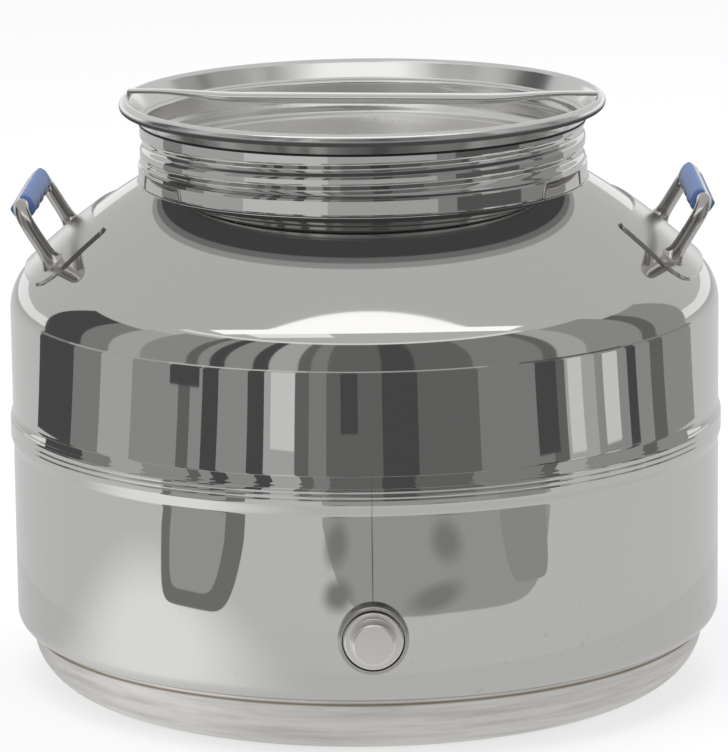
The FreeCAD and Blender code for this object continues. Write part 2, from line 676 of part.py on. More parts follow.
def port_frame(body):
    """Point a turned piece's axis out of the drum's front at the port's height."""
    body.Placement = Placement(Vector(0, 0, size("tap_height")), Rotation(Vector(1, 0, 0), 90))
    body.setExpression(".Placement.Base.z", bound("tap_height"))
    doc.recompute()


def tap_ferrule():
    """Threaded port: a bush through the wall with a dished flange bedded on the wall."""
    core = new_body("port_core")
    seat = "(port_face - port_dish)"
    points = (
        ("port_bore", "port_back"), ("port_radius", "port_back"), ("port_radius", "port_face - 0.6"),
        ("port_radius - 0.2", "port_face - 0.4"), ("port_seat", seat), ("port_bore", seat),
    )
    revolve(core, outline(core, "core_section", points), "core_turned")
    port_frame(core)
    rim = new_body("port_rim")
    inner = "(port_radius - 0.5)"
    points = (
        (inner, "port_back + 6"), ("port_flange", "port_back + 6"), ("port_flange", "port_face - 1.2"),
        ("port_flange - 1.2", "port_face"), ("port_radius - 0.2", "port_face"), (inner, "port_face - 0.6"),
    )
    revolve(rim, outline(rim, "rim_section", points, {2: ("1.2", 1)}), "rim_turned")
    port_frame(rim)
    drum = doc.addObject("Part::Cylinder", "wall_cylinder")
    drum.setExpression("Radius", bound("wall_radius"))
    drum.setExpression("Height", bound("2 * tap_height"))
    doc.recompute()
    flange = combine("Cut", "port_flange_piece", rim, drum)
    return combine("Fuse", "tap_ferrule", core, flange)


def tap_plug():
    """Plug: shank, flange and round head, the shank's fine thread left smooth."""
    body = new_body("tap_plug")
    seat = "(port_face - port_dish + washer_sheet)"
    top = "(%s + plug_shoulder)" % seat
    face = "(%s + plug_reach)" % top
    shank = "(port_bore - plug_gap)"
    points = (
        ("0", seat + " - plug_shank"), (shank + " - 1", seat + " - plug_shank"),
        (shank, seat + " - plug_shank + 1"), (shank, seat), ("plug_flange", seat),
        ("plug_flange", top + " - 0.6"), ("plug_flange - 0.6", top), ("plug_head + 0.7", top),
        ("plug_head", top + " + 0.7"), ("plug_head", face + " - 1.4"), ("plug_head - 1.4", face), ("0", face),
    )
    revolve(body, outline(body, "plug_section", points, {5: ("0.6", 1), 7: ("0.7", -1), 9: ("1.4", 1)}), "plug_turned")
    port_frame(body)
    return body


def tap_washer():
    """Sealing washer in the port's dish."""
    body = new_body("tap_washer")
    seat = "(port_face - port_dish)"
    points = (("port_bore + 0.4", seat), ("port_seat - 0.9", seat),
              ("port_seat - 0.9", seat + " + washer_sheet"), ("port_bore + 0.4", seat + " + washer_sheet"))
    revolve(body, outline(body, "washer_section", points), "washer_turned")
    port_frame(body)
    return body


def build():
    """All the pieces."""
    pieces = [base_pan(), body_wall(), shoulder(), neck_ring(), lid_pan(),
              ring("lid_gasket", "gasket_inner", "gasket_outer", "neck_top", "flange_height"), lid_bar()]
    below = dome_solid("dome_below", "0")
    above = dome_solid("dome_above", "pad_sheet")
    handle = combine("Cut", "handle_right", handle_rod(), above)
    for piece in (handle, grip(), handle_pad(above, below)):
        pieces += [piece, mirrored(piece.Label.replace("right", "left"), piece)]
    return pieces + [tap_ferrule(), tap_plug(), tap_washer()]


def save(pieces):
    """Check every object and every piece, then write one file for each."""
    doc.recompute()
    for item in doc.Objects:
        bad = [state for state in item.State if state in ("Invalid", "Error")]
        if bad:
            raise ValueError("%s is %s" % (item.Label, bad))
    os.makedirs("parts", exist_ok=True)
    for piece in pieces:
        shape = piece.Shape
        if shape.isNull() or not shape.isValid() or len(shape.Solids) < 1:
            raise ValueError("%s is not a valid solid" % piece.Label)
        print("%-18s solids %d  volume %10.1f" % (piece.Label, len(shape.Solids), shape.Volume))
    for piece in pieces:
        piece.Shape.exportStep("parts/%s.step" % piece.Label)


save(build())
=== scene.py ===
import math

import bmesh
import bpy
from mathutils import Matrix, Vector


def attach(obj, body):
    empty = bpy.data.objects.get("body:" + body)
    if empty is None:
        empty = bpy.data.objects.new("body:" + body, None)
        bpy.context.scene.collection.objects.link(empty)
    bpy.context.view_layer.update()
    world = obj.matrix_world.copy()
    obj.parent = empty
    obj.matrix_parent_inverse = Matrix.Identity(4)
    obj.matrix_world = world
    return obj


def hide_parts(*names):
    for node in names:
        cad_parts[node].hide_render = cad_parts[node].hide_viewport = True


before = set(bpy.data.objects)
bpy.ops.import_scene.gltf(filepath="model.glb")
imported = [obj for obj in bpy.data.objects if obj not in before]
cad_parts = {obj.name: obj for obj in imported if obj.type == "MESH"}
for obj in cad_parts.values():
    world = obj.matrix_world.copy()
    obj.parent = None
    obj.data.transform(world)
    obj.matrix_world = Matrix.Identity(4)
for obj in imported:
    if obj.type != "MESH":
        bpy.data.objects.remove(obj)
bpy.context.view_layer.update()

mm = 0.001
print("frame loaded")


# helpers

def rgb(hexText):  # sRGB hex to linear
    out = []
    for i in (1, 3, 5):
        v = int(hexText[i:i + 2], 16) / 255
        out.append(v / 12.92 if v <= 0.04045 else ((v + 0.055) / 1.055) ** 2.4)
    return (*out, 1.0)


def smooth(t):
    t = max(0.0, min(1.0, t))
    return t * t * (3 - 2 * t)


def arc(cx, cz, radius, fromDeg, toDeg, steps):  # both ends included
    turns = [math.radians(fromDeg + (toDeg - fromDeg) * i / steps) for i in range(steps + 1)]
    return [(cx + radius * math.cos(a), cz + radius * math.sin(a)) for a in turns]


def line(a, b, steps):  # the last point left out
    return [(a[0] + (b[0] - a[0]) * i / steps, a[1] + (b[1] - a[1]) * i / steps) for i in range(steps)]


def makeMesh(name, verts, faces, sharpDeg=32):
    mesh = bpy.data.meshes.new(name)
    mesh.from_pydata(verts, [], faces)
    work = bmesh.new()
    work.from_mesh(mesh)
    bmesh.ops.recalc_face_normals(work, faces=work.faces)
    work.to_mesh(mesh)
    work.free()
    mesh.shade_smooth()
    mesh.set_sharp_from_angle(angle=math.radians(sharpDeg))
    obj = bpy.data.objects.new(name, mesh)
    bpy.context.collection.objects.link(obj)
    return obj


def lathe(name, section, around, shape=None):  # section: (radius, height) in mm, closed
    rows = len(section)
    verts, faces = [], []
    for j in range(around):
        turn = 2 * math.pi * j / around + math.pi / 2
        c, s = math.cos(turn), math.sin(turn)
        for r, z in section:
            if shape:
                r, z = shape(r, z, turn)
            verts.append((r * c * mm, r * s * mm, z * mm))
    for j in range(around):
        k = (j + 1) % around
        for i in range(rows):
            n = (i + 1) % rows
            if section[i][0] > 1e-6 or section[n][0] > 1e-6:
                faces.append((j * rows + i, k * rows + i, k * rows + n, j * rows + n))
    return makeMesh(name, verts, faces)


def perMetre(size):  # texture scale for a pattern of so many mm
    return 1 / (size * mm)


def addNode(tree, kind, at, inputs=None, **settings):  # an input takes a value or another node's output
    node = tree.nodes.new(kind)
    node.location = at
    for key, value in settings.items():
        setattr(node, key, value)
    for key, value in (inputs or {}).items():
        if isinstance(value, bpy.types.NodeSocket):
            tree.links.new(value, node.inputs[key])
        else:
            node.inputs[key].default_value = value
    return node


def emptyMaterial(name):
    mat = bpy.data.materials.new(name)
    mat.use_nodes = True
    mat.node_tree.nodes.clear()
    return mat, mat.node_tree


def dress(obj, mat, body, slotName, *nodes):  # material, body, slot name (not used), the CAD nodes it stands for
    obj.data.materials.clear()
    obj.data.materials.append(mat)
    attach(obj, body)
    if nodes:
        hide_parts(*nodes)
    return obj


# materials

steelLook = {
    "mirror": "#d2d1cf",       # polished 304 sheet, hardly warm
    "satin": "#e4e2de",        # the same sheet before polishing
    "lidSteel": "#e9e8e6", "rodSteel": "#c0bdb9", "portSteel": "#b9b7b3", "plugSteel": "#eceae7",
    "wallRough": 0.016, "wallHaze": 0.014, "wallWave": 0.30,
    "domeRough": 0.045, "domeHaze": 0.02, "domeWave": 0.10,
    "domeSag": 1.35,           # mm, bump height that tilts the dome's shading flatter towards the neck; the shape stays
    "sagFrom": 100.0, "sagTo": 152.0,    # mm from the axis
    "neckRough": 0.035, "neckHaze": 0.02, "neckWave": 0.09,
    "lidRimRough": 0.17, "lidFloorRough": 0.27, "lidHaze": 0.05, "lidWave": 0.04,
    "brushedUpTo": 266.0, "buffedFrom": 282.0,    # mm up, from the lid's floor to its rim
    "barRough": 0.08, "barHaze": 0.04,
    "satinRough": 0.33, "satinHaze": 0.12, "satinWave": 0.08, "satinScratch": 0.010,
    "padRough": 0.20, "portRough": 0.17, "plugRough": 0.30, "rodRough": 0.13,
    "padHaze": 0.08, "portHaze": 0.06, "plugHaze": 0.08, "rodHaze": 0.08,
    # sizes of the patterns in mm; where there are three, the first two lie level and the last stands upright
    "hazeSize": 71.4,          # a palm-sized patch of polishing haze
    "waveSize": (111, 111, 111), "wallWaveSize": (90.9, 90.9, 200), "neckWaveSize": (71.4, 71.4, 33.3),
    "lidWaveSize": (83.3, 83.3, 83.3), "satinWaveSize": (71.4, 71.4, 50),
    "scratchSize": (11.1, 11.1, 1.11),    # real ones are a tenth as wide and wouldn't show
    "streakSize": (62.5, 62.5, 4.17),
    "markSize": 5.88,          # real specks are finer and wouldn't show
    # heights and widths in mm
    "seamColour": "#6f6b67", "seamShare": 0.75, "seamHalf": 0.45, "seamMiddle": 99.0, "seamReach": 52.0,
    "markColour": "#a8a5a1", "markShare": 0.22, "markHeight": 100.0,
    "heatColour": "#a3937f", "heatHeight": 27.4, "heatHalf": 1.3,
}
plasticLook = {
    # the rubber's black is painted shadow: it stands for the shadow gap under the lid's rim
    "grip": "#5b79b4", "gripRough": 0.42, "rubberPaintedShadow": "#1a1a1b", "rubberRough": 0.62,
    "ior": 1.49,
    "flowSize": 8.33, "flowDepth": 0.03,    # mm, real flow marks are finer and wouldn't show
}


def wavyNormal(tree, here, wave, sizes):  # thin hand-polished sheet bends its reflections
    spread = addNode(tree, "ShaderNodeMapping", (-900, -300), {"Vector": here, "Scale": [perMetre(s) for s in sizes]})
    noise = addNode(tree, "ShaderNodeTexNoise", (-700, -300),
                    {"Vector": spread.outputs[0], "Scale": 1.0, "Detail": 1.5, "Roughness": 0.45})
    return addNode(tree, "ShaderNodeBump", (-100, -300),
                   {"Strength": 1.0, "Distance": wave * mm, "Height": noise.outputs["Fac"]})


def cloudyRoughness(tree, here, haze):  # polishing haze in soft patches
    cloud = addNode(tree, "ShaderNodeTexNoise", (-700, 200),
                    {"Vector": here, "Scale": perMetre(steelLook["hazeSize"]), "Detail": 4.0, "Roughness": 0.6})
    patch = addNode(tree, "ShaderNodeMapRange", (-300, 200),
                    {"Value": cloud.outputs["Fac"], "From Min": 0.42, "From Max": 0.72, "To Max": haze})
    return patch.outputs[0]


def scuffed(tree, here, colour, depth, under):  # short scratches and dull streaks along the sheet
    stretch = addNode(tree, "ShaderNodeMapping", (-900, -600),
                      {"Vector": here, "Scale": [perMetre(s) for s in steelLook["scratchSize"]]})
    scratch = addNode(tree, "ShaderNodeTexNoise", (-700, -600),
                      {"Vector": stretch.outputs[0], "Scale": 1.0, "Detail": 3.0, "Roughness": 0.7})
    fine = addNode(tree, "ShaderNodeBump", (100, -500),
                   {"Strength": 1.0, "Distance": depth * mm, "Height": scratch.outputs["Fac"],
                    "Normal": under.outputs[0]})
    band = addNode(tree, "ShaderNodeMapping", (-900, 500),
                   {"Vector": here, "Scale": [perMetre(s) for s in steelLook["streakSize"]]})
    streak = addNode(tree, "ShaderNodeTexNoise", (-700, 500),
                     {"Vector": band.outputs[0], "Scale": 1.0, "Detail": 5.0, "Roughness": 0.65})
    ramp = addNode(tree, "ShaderNodeValToRGB", (-450, 500), {"Fac": streak.outputs["Fac"]})
    dull, bright = ramp.color_ramp.elements
    dull.position, bright.position = 0.30, 0.60
    dull.color = [c * 0.74 for c in rgb(colour)[:3]] + [1]
    bright.color = rgb(colour)
    return ramp.outputs["Color"], fine


def multiplied(tree, share, under, over, at):  # one colour laid over another by a share
    mix = addNode(tree, "ShaderNodeMix", at, {"Factor": share, "A": under, "B": rgb(over)},
                  data_type="RGBA", blend_type="MULTIPLY")
    return mix.outputs["Result"]


def ringShare(tree, here, height, half):  # 1 on a level ring, fading to 0 above and below
    split = addNode(tree, "ShaderNodeSeparateXYZ", (-900, 900), {0: here})
    away = addNode(tree, "ShaderNodeMath", (-700, 900), {0: split.outputs["Z"], 1: height * mm}, operation="SUBTRACT")
    size = addNode(tree, "ShaderNodeMath", (-550, 900), {0: away.outputs[0]}, operation="ABSOLUTE")
    near = addNode(tree, "ShaderNodeMapRange", (-400, 900),
                   {"Value": size.outputs[0], "From Min": half * mm, "From Max": 0.0},
                   interpolation_type="SMOOTHSTEP")
    return near.outputs[0]


def seamShare(tree, here):  # the wall's ground weld: a hair line down the front
    look = steelLook
    split = addNode(tree, "ShaderNodeSeparateXYZ", (-900, 1300), {0: here})
    away = addNode(tree, "ShaderNodeMath", (-700, 1300), {0: split.outputs["X"]}, operation="ABSOLUTE")
    thin = addNode(tree, "ShaderNodeMapRange", (-500, 1300),
                   {"Value": away.outputs[0], "From Min": look["seamHalf"] * mm,
                    "From Max": 0.3 * look["seamHalf"] * mm, "To Max": look["seamShare"]})
    front = addNode(tree, "ShaderNodeMath", (-700, 1500), {0: split.outputs["Y"], 1: 0.0}, operation="LESS_THAN")
    both = addNode(tree, "ShaderNodeMath", (-300, 1400), {0: thin.outputs[0], 1: front.outputs[0]},
                   operation="MULTIPLY")
    ring = ringShare(tree, here, look["seamMiddle"], look["seamReach"])
    lower = addNode(tree, "ShaderNodeMath", (-150, 1400), {0: both.outputs[0], 1: ring}, operation="MULTIPLY")
    return lower.outputs[0]


def footMarks(tree, here):  # faint specks where the wall gets knocked and splashed
    look = steelLook
    speck = addNode(tree, "ShaderNodeTexNoise", (-900, 1700),
                    {"Vector": here, "Scale": perMetre(look["markSize"]), "Detail": 2.0, "Roughness": 0.5})
    few = addNode(tree, "ShaderNodeMapRange", (-700, 1700),
                  {"Value": speck.outputs["Fac"], "From Min": 0.69, "From Max": 0.78})
    split = addNode(tree, "ShaderNodeSeparateXYZ", (-900, 1900), {0: here})
    low = addNode(tree, "ShaderNodeMapRange", (-700, 1900),
                  {"Value": split.outputs["Z"], "From Min": look["markHeight"] * mm,
                   "From Max": 0.4 * look["markHeight"] * mm, "To Max": look["markShare"]},
                  interpolation_type="SMOOTHSTEP")
    both = addNode(tree, "ShaderNodeMath", (-400, 1800), {0: few.outputs[0], 1: low.outputs[0]}, operation="MULTIPLY")
    return both.outputs[0]


def flattened(tree, here, under, rise):  # the dome's normals tilt as if it lay a little flatter beside the neck
    look = steelLook
    level = addNode(tree, "ShaderNodeVectorMath", (-900, -900), {0: here, 1: (1, 1, 0)}, operation="MULTIPLY")
    out = addNode(tree, "ShaderNodeVectorMath", (-750, -900), {0: level.outputs[0]}, operation="LENGTH")
    share = addNode(tree, "ShaderNodeMapRange", (-600, -900),
                    {"Value": out.outputs["Value"], "From Min": look["sagFrom"] * mm, "From Max": look["sagTo"] * mm},
                    interpolation_type="SMOOTHSTEP")
    return addNode(tree, "ShaderNodeBump", (-300, -900),
                   {"Strength": 1.0, "Distance": rise * mm, "Height": share.outputs[0], "Normal": under.outputs[0]})


def risingRoughness(tree, here, roughLow, roughHigh):  # brushed on the lid's floor, buffed on its rim
    look = steelLook
    split = addNode(tree, "ShaderNodeSeparateXYZ", (-900, 400), {0: here})
    share = addNode(tree, "ShaderNodeMapRange", (-600, 400),
                    {"Value": split.outputs["Z"], "From Min": look["brushedUpTo"] * mm,
                     "From Max": look["buffedFrom"] * mm, "To Min": roughLow, "To Max": roughHigh})
    return share.outputs[0]


def steelMaterial(name, colour, rough, haze, wave=0.0, waveSize=steelLook["waveSize"], scratch=0.0, seam=False,
                  heat=False, sag=0.0, floorRough=0.0):
    mat, tree = emptyMaterial(name)
    look = steelLook
    here = addNode(tree, "ShaderNodeTexCoord", (-1100, 0)).outputs["Object"]
    paint, normal = rgb(colour), None
    if wave:
        normal = wavyNormal(tree, here, wave, waveSize)
    if sag:
        normal = flattened(tree, here, normal, sag)
    if scratch:
        paint, normal = scuffed(tree, here, colour, scratch, normal)
    if heat:  # straw tint beside the base's seam weld
        paint = multiplied(tree, ringShare(tree, here, look["heatHeight"], look["heatHalf"]), paint,
                           look["heatColour"], (0, 700))
    if seam:
        paint = multiplied(tree, seamShare(tree, here), paint, look["seamColour"], (50, 1100))
        paint = multiplied(tree, footMarks(tree, here), paint, look["markColour"], (50, 1700))
    plain = risingRoughness(tree, here, floorRough, rough) if floorRough else rough
    dull = addNode(tree, "ShaderNodeMath", (0, 200), {0: cloudyRoughness(tree, here, haze), 1: plain},
                   operation="ADD")
    steel = addNode(tree, "ShaderNodeBsdfPrincipled", (300, 0),
                    {"Base Color": paint, "Metallic": 1.0, "Roughness": dull.outputs[0]})
    if normal:
        tree.links.new(normal.outputs[0], steel.inputs["Normal"])
    addNode(tree, "ShaderNodeOutputMaterial", (600, 0), {"Surface": steel.outputs[0]})
    return mat


def plasticMaterial(name, colour, rough):  # soft gloss with faint flow marks
    mat, tree = emptyMaterial(name)
    look = plasticLook
    here = addNode(tree, "ShaderNodeTexCoord", (-900, 0)).outputs["Object"]
    flow = addNode(tree, "ShaderNodeTexNoise", (-700, 0),
                   {"Vector": here, "Scale": perMetre(look["flowSize"]), "Detail": 3.0, "Roughness": 0.6})
    ramp = addNode(tree, "ShaderNodeValToRGB", (-400, 0), {"Fac": flow.outputs["Fac"]})
    dark, plain = ramp.color_ramp.elements
    dark.position, plain.position = 0.35, 0.65
    dark.color = [c * 0.86 for c in rgb(colour)[:3]] + [1]
    plain.color = rgb(colour)
    bump = addNode(tree, "ShaderNodeBump", (0, -300),
                   {"Strength": 0.5, "Distance": look["flowDepth"] * mm, "Height": flow.outputs["Fac"]})
    plastic = addNode(tree, "ShaderNodeBsdfPrincipled", (300, 0),
                      {"Base Color": ramp.outputs["Color"], "Metallic": 0.0, "Roughness": rough,
                       "IOR": look["ior"], "Normal": bump.outputs[0]})
    addNode(tree, "ShaderNodeOutputMaterial", (600, 0), {"Surface": plastic.outputs[0]})
    return mat


look = steelLook
# mirror polish on rolled sheet: sharp reflections that waver a little, and the ground seam
mirrorWall = steelMaterial("PolishedSteelWall", look["mirror"], look["wallRough"], look["wallHaze"],
                           look["wallWave"], look["wallWaveSize"], seam=True)
# the same polish over a spun dome: slightly soft, drawn-out reflections
mirrorDome = steelMaterial("PolishedSteelShoulder", look["mirror"], look["domeRough"], look["domeHaze"],
                           look["domeWave"], sag=look["domeSag"])
# polished after rolling: hard bright and dark bands along the thread
mirrorNeck = steelMaterial("PolishedSteelNeck", look["mirror"], look["neckRough"], look["neckHaze"],
                           look["neckWave"], look["neckWaveSize"])
# brushed pressing with a buffed rim: a broad pale sheen below, a clear line on the rim
brushedLid = steelMaterial("BrushedSteelLid", look["lidSteel"], look["lidRimRough"], look["lidHaze"],
                           look["lidWave"], look["lidWaveSize"], floorRough=look["lidFloorRough"])
# pressed and buffed strip: a narrow bright line along the bar
pressedBar = steelMaterial("PressedSteelBar", look["mirror"], look["barRough"], look["barHaze"])
# mill finish left on the base: grey and streaky, scuffed by what it stands on
satinBase = steelMaterial("SatinSteelBase", look["satin"], look["satinRough"], look["satinHaze"],
                          look["satinWave"], look["satinWaveSize"], scratch=look["satinScratch"], heat=True)
# flattened plate, buffed once: a blurred patch of light
satinPad = steelMaterial("SatinSteelPad", look["mirror"], look["padRough"], look["padHaze"])
# turned fitting: darker ring with soft highlights round the port
turnedPort = steelMaterial("TurnedSteelPort", look["portSteel"], look["portRough"], look["portHaze"])
# turned plug, tumbled: even and pale
turnedPlug = steelMaterial("TurnedSteelPlug", look["plugSteel"], look["plugRough"], look["plugHaze"])
# drawn rod: darker steel with a long highlight along each leg
drawnRod = steelMaterial("DrawnSteelRod", look["rodSteel"], look["rodRough"], look["rodHaze"])
# moulded plastic: flat, slightly cloudy blue with a dull sheen
gripPlastic = plasticMaterial("MouldedPolypropylene", plasticLook["grip"], plasticLook["gripRough"])
# moulded rubber, painted black to stand for the shadow gap under the lid: a matt black line there; the tap's washer
# takes the same black
sealPaintedShadow = plasticMaterial("MouldedRubberPaintedShadow", plasticLook["rubberPaintedShadow"], plasticLook["rubberRough"])
print("materials made")


# wall, shoulder and base

drum = {
    "wallRadius": 175.0, "sheet": 0.8, "seamHeight": 29.5, "curl": 7.5,
    "beadFrom": 119.0, "beadTo": 141.2, "beadMid": 129.9, "beadCrest": 3.5, "beadSlope": 6.4, "beadRise": 1.3,
    "creases": (128.9, 131.5, 135.4), "creaseHalf": 0.55, "creaseDepth": 0.10,
    "shoulderHeight": 188.3, "cornerRadius": 25.6, "cornerAngle": 46.7, "domeRadius": 340.0,
    "seatRadius": 111.3, "seatHeight": 249.8, "neckHole": 109.5,
    "panRadius": 167.5, "panSheet": 1.0, "panCorner": 28.0,
    "grooveRadius": 108.0, "grooveHalf": 9.0, "grooveRise": 2.6,
}


def beadOut(z):  # the swaged bead with its roller creases
    away = abs(z - drum["beadMid"])
    out = drum["beadRise"] * (1 - smooth((away - drum["beadCrest"]) / drum["beadSlope"]))
    for crease in drum["creases"]:
        out -= drum["creaseDepth"] * max(0.0, 1 - ((z - crease) / drum["creaseHalf"]) ** 2)
    return out


def makeWall():
    d = drum
    r, t, low = d["wallRadius"], d["sheet"], d["seamHeight"]
    bottom, beadFrom, beadTo, step = low + d["curl"], d["beadFrom"], d["beadTo"], 0.3
    outer = [(d["panRadius"] - 1, low)] + arc(r - d["curl"], bottom, d["curl"], -90, 0, 20)
    outer += line((r, bottom + 3), (r, beadFrom), 22)
    outer += [(r + beadOut(beadFrom + step * i), beadFrom + step * i) for i in range(round((beadTo - beadFrom) / step))]
    outer += line((r, beadTo), (r, d["shoulderHeight"]), 16) + [(r, d["shoulderHeight"])]
    inner = [(r - t, d["shoulderHeight"]), (r - t, beadTo - 0.2), (r - t + d["beadRise"], d["beadMid"] + 3),
             (r - t + d["beadRise"], d["beadMid"] - 3), (r - t, beadFrom)]
    inner += arc(r - d["curl"], bottom, d["curl"] - t, 0, -90, 8) + [(d["panRadius"] - 1, low + t)]
    return lathe("WallShell", outer + inner, 384)


def domeMiddle():  # centre of the dome's arc beside the corner's
    d = drum
    a = math.radians(d["cornerAngle"])
    gap = d["domeRadius"] - d["cornerRadius"]
    return d["wallRadius"] - d["cornerRadius"] - gap * math.cos(a), d["shoulderHeight"] - gap * math.sin(a)


def shoulderSection(lift, steps):  # corner arc, then the dome
    d = drum
    cx, cz = d["wallRadius"] - d["cornerRadius"], d["shoulderHeight"]
    dx, dz = domeMiddle()
    end = math.degrees(math.acos((d["seatRadius"] - dx) / d["domeRadius"]))
    return (arc(cx, cz, d["cornerRadius"] + lift, 0, d["cornerAngle"], steps)[:-1]
            + arc(dx, dz, d["domeRadius"] + lift, d["cornerAngle"], end, steps))


def makeShoulder():
    top = [(drum["seatRadius"], drum["seatHeight"]), (drum["neckHole"], drum["seatHeight"])]
    section = shoulderSection(0.0, 48) + top + shoulderSection(-drum["sheet"], 16)[::-1]
    return lathe("ShoulderShell", section, 384)


def makePan():
    d = drum
    r, t, c = d["panRadius"], d["panSheet"], d["panCorner"]
    ringRise = [d["grooveRise"] * 0.5 * (1 - math.cos(2 * math.pi * i / 20)) for i in range(21)]
    ringAt = [d["grooveRadius"] + d["grooveHalf"] * (i / 10 - 1) for i in range(21)]
    outer = line((0.0, 0.0), (ringAt[0], 0.0), 8) + list(zip(ringAt, ringRise))
    outer += arc(r - c, c, c, -90, 0, 40) + [(r, d["seamHeight"])]
    inner = [(r - t, d["seamHeight"])] + arc(r - c, c, c - t, 0, -90, 16)
    inner += [(x, z + t) for x, z in reversed(list(zip(ringAt, ringRise)))] + [(0.0, t)]
    return lathe("BasePanShell", outer + inner, 320)


dress(makeWall(), mirrorWall, "drum", "mirror_steel", "body_wall")
dress(makeShoulder(), mirrorDome, "drum", "mirror_steel", "shoulder")
dress(makePan(), satinBase, "drum", "satin_steel", "base_pan")
print("wall, shoulder and base made")


# neck and lid with their rolled thread

neck = {
    "bandRadius": 110.5, "bandFoot": 249.8, "bandTop": 258.2, "wallRadius": 109.6, "sheet": 1.0,
    "top": 278.8, "pitch": 10.0, "start": 259.3, "turns": 1.6, "depth": 1.4, "half": 3.7, "gap": 0.4,
    "runOut": 0.07,            # turns over which the thread fades at its ends
}
lid = {
    "flange": 280.0, "flangeRadius": 110.5, "rimRadius": 116.5, "rimHeight": 287.6, "rimRound": 3.0,
    "rimTail": -145.0, "floor": 263.5, "corner": 4.0, "panelRadius": 97.0, "panelDrop": 1.0,
    "stampRadius": 25.0, "stampHalf": 2.5, "stampRise": 0.35,
}


def threadDepth(z, turn, extra=0.0):  # the rolled groove, faded where it runs out
    share = ((turn - math.pi) / (2 * math.pi)) % 1.0
    best = 0.0
    for whole in (-1, 0, 1, 2):
        s = share + whole
        fade = smooth(s / neck["runOut"]) * smooth((neck["turns"] + extra - s) / neck["runOut"])
        away = abs(z - neck["start"] - neck["pitch"] * s) / neck["half"]
        if away < 1 and fade > 0:
            best = max(best, neck["depth"] * fade * 0.5 * (1 + math.cos(math.pi * away)))
    return best


def makeNeck():
    n = neck
    foot, top = n["bandFoot"], n["top"]
    outer = arc(n["bandRadius"] - 0.5, foot + 0.5, 0.5, -90, 0, 5)
    outer += line((n["bandRadius"], foot + 1.2), (n["bandRadius"], n["bandTop"]), 8)
    outer += [(n["wallRadius"] + (n["bandRadius"] - n["wallRadius"]) * (1 - smooth(i / 8)),
               n["bandTop"] + 1.4 * i / 8) for i in range(9)]
    outer += line((n["wallRadius"], n["bandTop"] + 1.75), (n["wallRadius"], top), 56) + [(n["wallRadius"], top)]
    inner = [(r - n["sheet"], z) for r, z in outer[::-1]]
    inner = inner[::2] if len(inner) % 2 else inner[::2] + inner[-1:]

    def shape(r, z, turn):
        near = smooth((z - n["bandTop"] + 0.5) / 1.5) * smooth((top - 0.4 - z) / 0.8)
        return r - threadDepth(z, turn) * near, z
    return lathe("NeckRing", outer + inner, 384, shape)


def makeLid():
    d, t = lid, neck["sheet"]
    wall = neck["wallRadius"] - t - neck["gap"]
    lip = d["rimRound"] - t
    rise, run = d["rimHeight"] - d["flange"], d["rimRadius"] - d["flangeRadius"]
    slope = math.degrees(math.atan2(rise, run) + math.asin(lip / math.hypot(run, rise)))
    low, high = d["floor"] + d["corner"], d["flange"] - 0.6
    under = [(0.0, d["floor"] - d["panelDrop"]), (d["panelRadius"], d["floor"] - d["panelDrop"]),
             (d["panelRadius"] + 1.5, d["floor"])]
    under += arc(wall - d["corner"], low, d["corner"], -90, 0, 12)
    under += line((wall, low + 0.4), (wall, high), 26) + [(wall, high)]
    under += [(wall + 0.6, d["flange"]), (d["flangeRadius"] - 0.3, d["flange"]),
              (d["flangeRadius"], d["flange"] + 0.3)]
    under += arc(d["rimRadius"], d["rimHeight"], lip, 90 + slope, d["rimTail"], 36)
    top = arc(d["rimRadius"], d["rimHeight"], d["rimRound"], d["rimTail"], 90 + slope, 54)
    bend = d["flangeRadius"] - t * math.tan(math.radians(slope / 2))
    top += arc(bend - 1.2, d["flange"] + t + 1.9, 1.9, slope - 90, -90, 8)
    top += arc(wall + 0.9, d["flange"] - 0.9, 1.9, 90, 180, 10)
    top += line((wall - t, high - 1), (wall - t, low), 26)
    top += arc(wall - d["corner"], low, d["corner"] - t, 0, -90, 12)
    floorTop, edge = d["floor"] + t, d["panelRadius"] + 2.2
    panelTop = floorTop - d["panelDrop"]
    top += [(edge - 2.8 * i / 8, floorTop - d["panelDrop"] * smooth(i / 8)) for i in range(9)]
    top += [(d["panelRadius"] - 8, panelTop)]
    ring, half = d["stampRadius"], d["stampHalf"]
    top += [(ring + half * (1 - i / 5), panelTop + d["stampRise"] * math.sin(math.pi * i / 10)) for i in range(11)]
    top += [(0.0, panelTop)]

    def shape(r, z, turn):
        if not (d["floor"] - 0.1 < z < d["flange"] - 0.5 and r > 103.0):
            return r, z
        near = smooth((d["flange"] - 0.6 - z) / 1.5) * smooth((r - 103.5) / 2.5)
        return r - threadDepth(z, turn, 0.1) * near, z
    return lathe("LidPan", under + top, 384, shape)


dress(makeNeck(), mirrorNeck, "drum", "mirror_steel", "neck_ring")
dress(makeLid(), brushedLid, "lid", "mirror_steel", "lid_pan")
print("neck and lid made")


# bar across the lid

bar = {
    "turn": -6.9, "shift": 3.0, "half": 6.5, "low": 286.6, "top": 290.4, "sheet": 1.2, "round": 1.5, "edge": 0.45,
    "straight": 60.0, "tabStart": 103.5, "tabEnd": 116.2, "tabHalf": 3.5, "tabLow": 290.63, "tabTop": 292.2,
}


